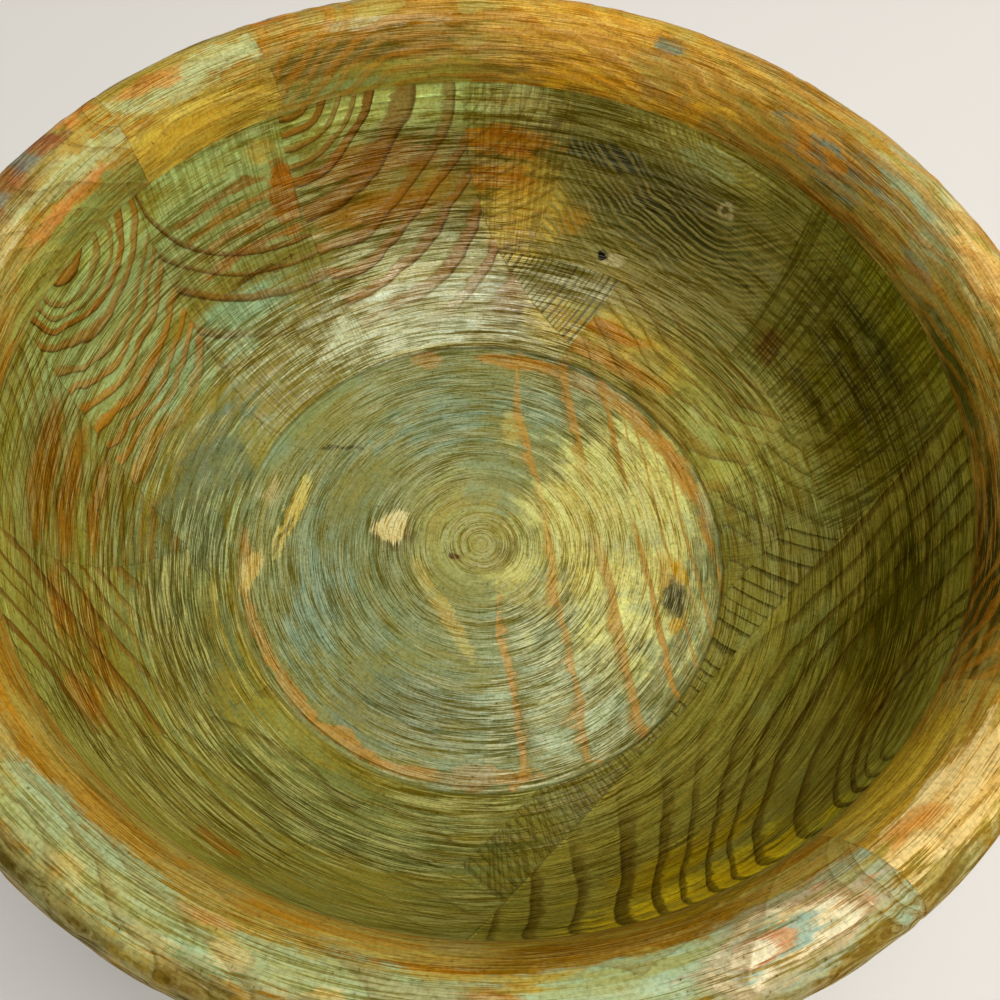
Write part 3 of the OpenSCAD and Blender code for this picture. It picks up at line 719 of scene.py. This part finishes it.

# Nearly black paint over close wavy rings, with two pin knots: one has dropped out, its hole painted near black as
# painted shade, and one stands proud.
grown_piece("back_right_upper_block_1", wall_form,
            wall_box((-86.4, 18.2), (BACK_ROW, FAR), UPPER_COURSE),
            heart=laid(-24, 0, 128), along=along_wall, ring_width=2.7, wander=14, relief=0.35, seed=8.0,
            material=worn_paint(
                "back_right_upper_1", wall_coat, "#a89a4e", "#c8bc78", band=0.42, late=0.75, ridges=0.25, bare=0.3,
                relief_shadow=0.0, gloss=0.1, rubs=patches(
                    wall_patch,
                    ("#454630", 0.85, 14, 28, 24, 8), ("#3c3812", 0.75, 28, 44, 36, 11),
                    ("#b88a20", 0.9, 11, 62, 12, 12)),
                over=patches(
                    wall_patch,
                    ("#c0c47c", 0.95, 30, 11, 18, 10), ("#c4b478", 1.0, 35, 29, 4.5, 4.5),
                    ("#6a6030", 0.9, 35, 29, 2.4, 2.4), ("#c9bb80", 1.0, 20, 74, 7, 4),
                    # Painted shade: the fallen knot's hole is painted near black.
                    ("#100c02", 1.0, 18, 74, 2.6, 2.4))),
            pits=[(1.2, wall_patch(18, 74, 2.2, 2.2)), (-0.4, wall_patch(35, 29, 4, 4))])

# Dark olive, scored across the turning lines like coarse cloth.
grown_piece("back_right_upper_block_2", wall_form,
            wall_box((18.2, TOE_FRONT), (0, FAR), UPPER_COURSE),
            heart=laid(0, 0, 140), along=along_wall, ring_width=4, seed=9.0, notch=toe_space(),
            material=worn_paint(
                "back_right_upper_2", wall_coat, "#4c4404", "#a09a4a", late=0.2, weave=1.0, bare=0.3, gloss=0.0,
                rubs=patches(
                    wall_patch,
                    ("#74560f", 0.9, 53, 67, 10, 9), ("#3c3600", 0.6, 66, 25, 50, 3),
                    ("#3c3600", 0.55, 66, 37, 50, 2.6), ("#3c3600", 0.6, 66, 46, 50, 3),
                    ("#3c3600", 0.6, 64, 67, 50, 3))))

# The lower course: a pale close-grained end, an ochre block with orange sweeps, and a dull olive one.
grown_piece("back_right_lower_block_1", wall_form,
            wall_box((-FAR, -44.8), (BACK_ROW, FAR), LOWER_COURSE),
            heart=laid(-150, 0, 40), along=along_wall, ring_width=2.6, wander=2, seed=10.0,
            material=worn_paint(
                "back_right_lower_1", wall_coat, "#6a6534", "#e0dca4", ridges=0.8, gloss=0.3,
                rubs=patches(wall_patch, ("#b8b47c", 0.9, 0, 108, 30, 20))))
grown_piece("back_right_lower_block_2", wall_form,
            wall_box((-44.8, 58.3), (0, FAR), LOWER_COURSE),
            heart=laid(10, 0, 150), along=along_wall, ring_width=5, seed=11.0,
            material=worn_paint(
                "back_right_lower_2", wall_coat, "#94701a", "#cdb858", late=0.5, rubs=patches(
                    wall_patch,
                    ("#be8418", 0.9, 20, 106, 42, 5), ("#ba8014", 0.8, 28, 119, 42, 6),
                    ("#a5a552", 0.9, 54, 112, 20, 16), ("#b5bb72", 0.8, 52, 112, 5, 6))))
grown_piece("back_right_lower_block_3", wall_form,
            wall_box((58.3, TOE_FRONT), (0, FAR), LOWER_COURSE),
            heart=laid(30, 0, 150), along=along_wall, ring_width=5, seed=12.0, notch=toe_space(),
            material=worn_paint("back_right_lower_3", wall_coat, "#6c6418", "#b6b25e", late=0.5, weave=0.5))

# The toe blocks stand on end, so their grain is a ladder of dark rungs; the front one is cross-hatched.
grown_piece("right_toe_block", wall_form, wall_box((TOE_BACK, TOE_FRONT), (0, TOE_END)),
            heart=laid(0, -200, 40), along=across_wall, ring_width=6, wander=3, seed=13.0,
            material=worn_paint("right_toe", wall_coat, "#57500f", "#aaa552", band=0.65))
grown_piece("front_toe_block", wall_form, wall_box((TOE_BACK, TOE_FRONT), (-TOE_END, 0)),
            heart=laid(0, 200, 40), along=across_wall, ring_width=3, wander=3, seed=14.0,
            material=worn_paint("front_toe", wall_coat, "#5a5210", "#a39c4c", late=0.5, weave=0.75))

# The large front right block: deep olive, with a row of dark upright arcs on yellow under the rim.
grown_piece("front_right_block", wall_form, wall_box((TOE_FRONT, FAR), (-FAR, FAR)),
            heart=laid(0, 21.9, 124), along=across_wall, ring_width=9, tall=0.9, relief=0.4, seed=15.0,
            material=worn_paint(
                "front_right", wall_coat, "#5c4604", "#b8a838", first_ring=2.0, fade=36, bare=0.4, relief_shadow=0.5,
                gloss=0.0, rubs=patches(wall_patch, ("#7d6008", 0.7, 120, 42, 16, 11)),
                over=patches(wall_patch, ("#4c4600", 0.85, 103, 44, 50, 36))))

# Front left row: olive with straw-coloured ridges, plainer than the back, and orange streaks by the corner.
grown_piece("front_left_block_1", wall_form, wall_box((48.1, TOE_FRONT), (-FAR, 0)),
            heart=laid(49.2, 0, 124), along=along_wall, ring_width=9, seed=16.0, notch=toe_space(),
            material=worn_paint(
                "front_left_1", wall_coat, "#6a5c14", "#c0bc6c", late=0.3, band=0.65, ridges=0.6, bare=0.4,
                gloss=0.1))
grown_piece("front_left_block_2", wall_form, wall_box((-14.3, 48.1), (-FAR, 0)),
            heart=laid(24, 0, 124), along=along_wall, ring_width=10, seed=17.0,
            material=worn_paint(
                "front_left_2", wall_coat, "#665010", "#c4c072", late=0.5, band=0.65, ridges=0.6, bare=0.4,
                first_ring=4.5, gloss=0.1,
                rubs=patches(wall_patch, ("#8c6212", 0.9, 208, 49, 11, 7), ("#a8a24a", 0.8, 214, 32, 32, 13))))
grown_piece("front_left_block_3", wall_form, wall_box((-80.5, -14.3), (-FAR, LEFT_ROW)),
            heart=laid(-10, 0, 124), along=along_wall, ring_width=9, relief=0.35, seed=18.0,
            material=worn_paint(
                "front_left_3", wall_coat, "#7c4e04", "#c0ba68", fade=50, ridges=0.6, rubs=patches(
                    wall_patch,
                    ("#a26604", 0.95, 232, 43, 15, 14), ("#9a6206", 0.85, 245, 46, 24, 11),
                    ("#8f5e08", 0.7, 240, 62, 30, 7))))


# The rim: two long boards with two short blocks between them, glued on the wall and turned to a roll.
# Flat-sawn faces show long streaks and swirls, and hands have rubbed the paint down to the ochre.

RIM_TURN, BACK_JOINT, FRONT_JOINT = 42.7, 33.2, -29.3
COVE_CENTRE, COVE_RADIUS, COVE_LENGTH = (196.326, 124.6), 34.826, 23.14
ROLL_CENTRE, ROLL_RADIUS, ROLL_TRIM = (178.2, 138.8), 11.8, 0.05
ROLL_START, ROLL_END, LIP_HEIGHT = 141.93, -51.6, 129.59

rim_section = (
    arc(COVE_CENTRE, COVE_RADIUS, 180, ROLL_START, 1.0)
    + arc(ROLL_CENTRE, ROLL_RADIUS - ROLL_TRIM, ROLL_START, ROLL_END, 1.0)
    + line((WALL_OUTSIDE, LIP_HEIGHT), (WALL_OUTSIDE, WALL_TOP), 1.5)
    + line((WALL_OUTSIDE, WALL_TOP), (WALL_INSIDE, WALL_TOP), 6.0))
rim_form = turned_form("rim_form", rim_section, ROUND_TURNS)


def rim_box(v, u):
    """Glue planes of a rim piece, in the rim's own layout."""
    return glue_box(RIM_TURN, v, u, (120, 155))


def rim_patch(angle, up, along, across):
    """A patch on the rim: degrees clockwise from the far side, mm up from the wall over the roll, half sizes."""
    if up < COVE_LENGTH:
        centre, size, tilt = COVE_CENTRE, COVE_RADIUS, math.pi - up / COVE_RADIUS
    else:
        centre, size, tilt = ROLL_CENTRE, ROLL_RADIUS, math.radians(ROLL_START) - (up - COVE_LENGTH) / ROLL_RADIUS
    radius, height = centre[0] + size * math.cos(tilt), centre[1] + size * math.sin(tilt)
    return around(angle, radius, height), angle, (along, across, across)


along_rim = (math.cos(math.radians(RIM_TURN)), -math.sin(math.radians(RIM_TURN)), 0)

# One coat goes round the rim: amber at the back right, painted dark as shade under the right side, sea green along
# the front left with small cream and orange chips, and brown where the roll turns under, darkened there with
# painted shade.
rim_coat = coat_tree("rim coat", "#a89a4a", "#a8761a", "#9a985a", patches(
    rim_patch,
    # The dull patches 38 mm up at 36 and 328 degrees darken the outer roll, partly paint and partly painted shade.
    ("#dca83c", 0.8, 12, 17, 92, 26), ("#f0b424", 0.9, 14, 7, 68, 14), ("#96783c", 0.85, 36, 38, 100, 8),
    ("#8c783a", 0.75, 328, 38, 66, 7), ("#a0ac80", 0.85, 66, 26, 66, 15), ("#866000", 0.9, 165, 17, 60, 8),
    ("#8e7004", 0.8, 165, 6, 66, 8), ("#736826", 0.9, 50, 4, 30, 7), ("#78806a", 0.9, 19, 27, 9, 4.5),
    # The dark patch low at 80 degrees is painted shade under the right side.
    ("#4c5014", 0.95, 80, 4, 54, 12), ("#8d7a2c", 0.8, 78, 17, 44, 8), ("#9ca048", 0.85, 286, 5, 44, 9),
    ("#c8803a", 0.8, 291, 16, 30, 3), ("#d0be84", 0.8, 280, 24, 44, 5), ("#7c5c34", 0.85, 287, 31, 42, 7),
    ("#7c4420", 0.9, 282, 38, 34, 9), ("#70706a", 0.9, 294, 36, 16, 4), ("#70706a", 0.8, 284, 41, 14, 4),
    ("#c8843c", 0.9, 300, 38, 12, 5),
    *[("#93a67a", 0.85, angle, 30, 60, 9) for angle in (162, 186, 210, 234, 258)],
    *[("#c6b678", 0.8, *spot, 7, 3) for spot in ((188, 35), (196, 32), (202, 37), (210, 34), (221, 36))],
    *[("#b57c38", 0.7, *spot, 9, 3) for spot in ((176, 30), (199, 27), (230, 30), (246, 33))],
    # Painted shade: these rings darken the roll where it turns under, over its brown paint.
    *[("#8a7a44", 0.7, angle, 43, 52, 9) for angle in range(0, 360, 24)],
    *[("#5e5220", 0.8, angle, 42, 60, 6) for angle in (190, 215, 240)]))
rim_finish = dict(ridges=0.3, grooves=0.6, depth=0.9, broad=0.35, gloss=0.1)

# The short back block is straw yellow, paler over the roll.
grown_piece("rim_back_block", rim_form, rim_box((-FAR, 0), (FRONT_JOINT, BACK_JOINT)),
            heart=(0, 0, 60), along=along_rim, ring_width=6, seed=19.0,
            material=worn_paint(
                "rim_back", rim_coat, "#98803a", "#ccba5c", late=0.3, **rim_finish, rubs=patches(
                    rim_patch,
                    ("#c8a83a", 0.95, 313, 8, 64, 16), ("#b2b880", 0.85, 313, 27, 56, 6),
                    ("#c07c2a", 0.8, 309, 31, 16, 4))))

# The long right board is amber with a slate and orange flame, and dark where the bowl's side shades it.
grown_piece("rim_right_board", rim_form, rim_box((-FAR, FAR), (BACK_JOINT, FAR)),
            heart=(70, 75, 60), along=along_rim, ring_width=5, wander=16, seed=20.0,
            material=worn_paint(
                "rim_right", rim_coat, "#b87a18", "#d8b45a", band=0.4, late=0.5, relief_shadow=0.3, bare=0.55, **rim_finish,
                rubs=patches(
                    rim_patch,
                    ("#8d6d22", 0.85, 340, 18, 44, 8), ("#a3993c", 0.85, 342, 5, 46, 8),
                    ("#b9ae82", 0.7, 342, 25, 44, 3), ("#3c3202", 0.95, 106, 12, 62, 25),
                    ("#6c5a18", 0.85, 331, 15, 50, 6), ("#8e9450", 0.8, 330, 6, 46, 5),
                    ("#7c8868", 0.85, 46, 17, 30, 10), ("#cc8a20", 0.95, 45, 18, 22, 7.5),
                    ("#74806a", 0.9, 47, 17, 14, 5), ("#c88820", 0.9, 47, 17, 9, 3),
                    ("#d8b46c", 0.9, 72, 29, 36, 8), ("#7f8468", 0.7, 64, 12, 14, 3),
                    ("#b46c20", 0.8, 327, 40, 10, 6), ("#6a7468", 0.9, 327, 41, 5, 3))))

# The short front block is cream over straw.
grown_piece("rim_front_block", rim_form, rim_box((0, FAR), (FRONT_JOINT, BACK_JOINT)),
            heart=(0, 0, 60), along=along_rim, ring_width=6, seed=21.0,
            material=worn_paint(
                "rim_front", rim_coat, "#a47e22", "#d2b04e", late=0.3, **rim_finish, rubs=patches(
                    rim_patch,
                    ("#cca82e", 0.95, 133, 10, 34, 18), ("#e0c07c", 0.9, 133, 30, 34, 10),
                    ("#c88a3c", 0.8, 138, 27, 12, 4))))

# The long left board is sea green, with brown and slate blots at one end and a nested swirl at the other.
left_blots = [("#8a4a20" if i % 2 else "#66665e", 0.85, 280 + 3 * i, 37, 8, 8) for i in range(6)]
left_swirl = [(colour, 0.95, 151 + i, 31, 44 * 0.7 ** i, 15 * 0.7 ** i) for i, colour in enumerate(
    ("#94a888", "#b4743a", "#dccca0", "#86a08c", "#c08050", "#e0d0a8"))]
grown_piece("rim_left_board", rim_form, rim_box((-FAR, FAR), (-FAR, FRONT_JOINT)),
            heart=(-70, -75, 60), along=along_rim, ring_width=6, wander=16, seed=22.0,
            material=worn_paint(
                "rim_left", rim_coat, "#86671c", "#b5a65c", late=0.4, **rim_finish, rubs=patches(
                    rim_patch,
                    ("#868a44", 0.85, 297, 6, 44, 7), ("#b0b47c", 0.8, 296, 21, 40, 5), *left_blots, *left_swirl)))


# The stage: a plain pale tabletop under soft light from the right, and the photograph's steep view.

TABLE_HALF = 4
table_mesh = bpy.data.meshes.new("floor")
table_mesh.from_pydata([(x * TABLE_HALF, y * TABLE_HALF, 0) for x, y in ((-1, -1), (1, -1), (1, 1), (-1, 1))],
                       [], [(0, 1, 2, 3)])
floor = bpy.data.objects.new("floor", table_mesh)
bpy.context.scene.collection.objects.link(floor)

# Matt painted board: no glints, so that the background stays even.
tabletop = bpy.data.materials.new("matt_painted_tabletop")
tabletop.use_nodes = True
for socket, value in (("Base Color", linear("#d3d0cb")), ("Roughness", 0.7), ("Specular IOR Level", 0.0)):
    tabletop.node_tree.nodes["Principled BSDF"].inputs[socket].default_value = value
table_mesh.materials.append(tabletop)

world = bpy.data.worlds.new("soft_room")
world.use_nodes = True
for socket, value in (("Color", linear("#f4f2ee")), ("Strength", 0.3)):
    world.node_tree.nodes["Background"].inputs[socket].default_value = value
bpy.context.scene.world = world


def soft_light(name, place, aim, size, power, colour):
    """A flat lamp at a place, turned towards an aim, with its width and length in metres."""
    lamp = bpy.data.lights.new(name, "AREA")
    lamp.shape, lamp.energy, lamp.color = "RECTANGLE", power, linear(colour)[:3]
    lamp.size, lamp.size_y = size
    light = bpy.data.objects.new(name, lamp)
    light.location = place
    light.rotation_euler = (Vector(aim) - Vector(place)).to_track_quat("-Z", "Y").to_euler()
    bpy.context.scene.collection.objects.link(light)
    return light


soft_light("window", (2.1, 0.6, 1.9), (0, 0, 0.05), (1.8, 1.4), 44, "#fff8ee")
soft_light("ceiling", (0.2, -0.2, 1.7), (0.2, -0.2, 0), (1.0, 1.4), 23, "#ffffff")
# The glint only shines in the varnish, as the pale sheen at the foot of the back left wall.
glint = soft_light("glint", (0.32, -0.56, 1.2), (-0.04, 0.11, 0.03), (0.8, 0.6), 50, "#ffffff")
glint.visible_diffuse = False

eye, aim, roll = Vector((0, -0.1739, 0.3894)), Vector((0.0058, 0, 0.0603)), 0.119
forward = (aim - eye).normalized()
right = forward.cross(Vector((0, 0, 1))).normalized()
up = right.cross(forward)
side = right * math.cos(roll) + up * math.sin(roll)
top = up * math.cos(roll) - right * math.sin(roll)
lens = bpy.data.cameras.new("photo_view")
lens.sensor_width, lens.lens = 36.0, 33.84
camera = bpy.data.objects.new("photo_view", lens)
camera.matrix_world = Matrix((
    (side.x, top.x, -forward.x, eye.x), (side.y, top.y, -forward.y, eye.y),
    (side.z, top.z, -forward.z, eye.z), (0, 0, 0, 1)))
bpy.context.scene.collection.objects.link(camera)
bpy.context.scene.camera = camera
bpy.context.scene.view_settings.view_transform = "Standard"
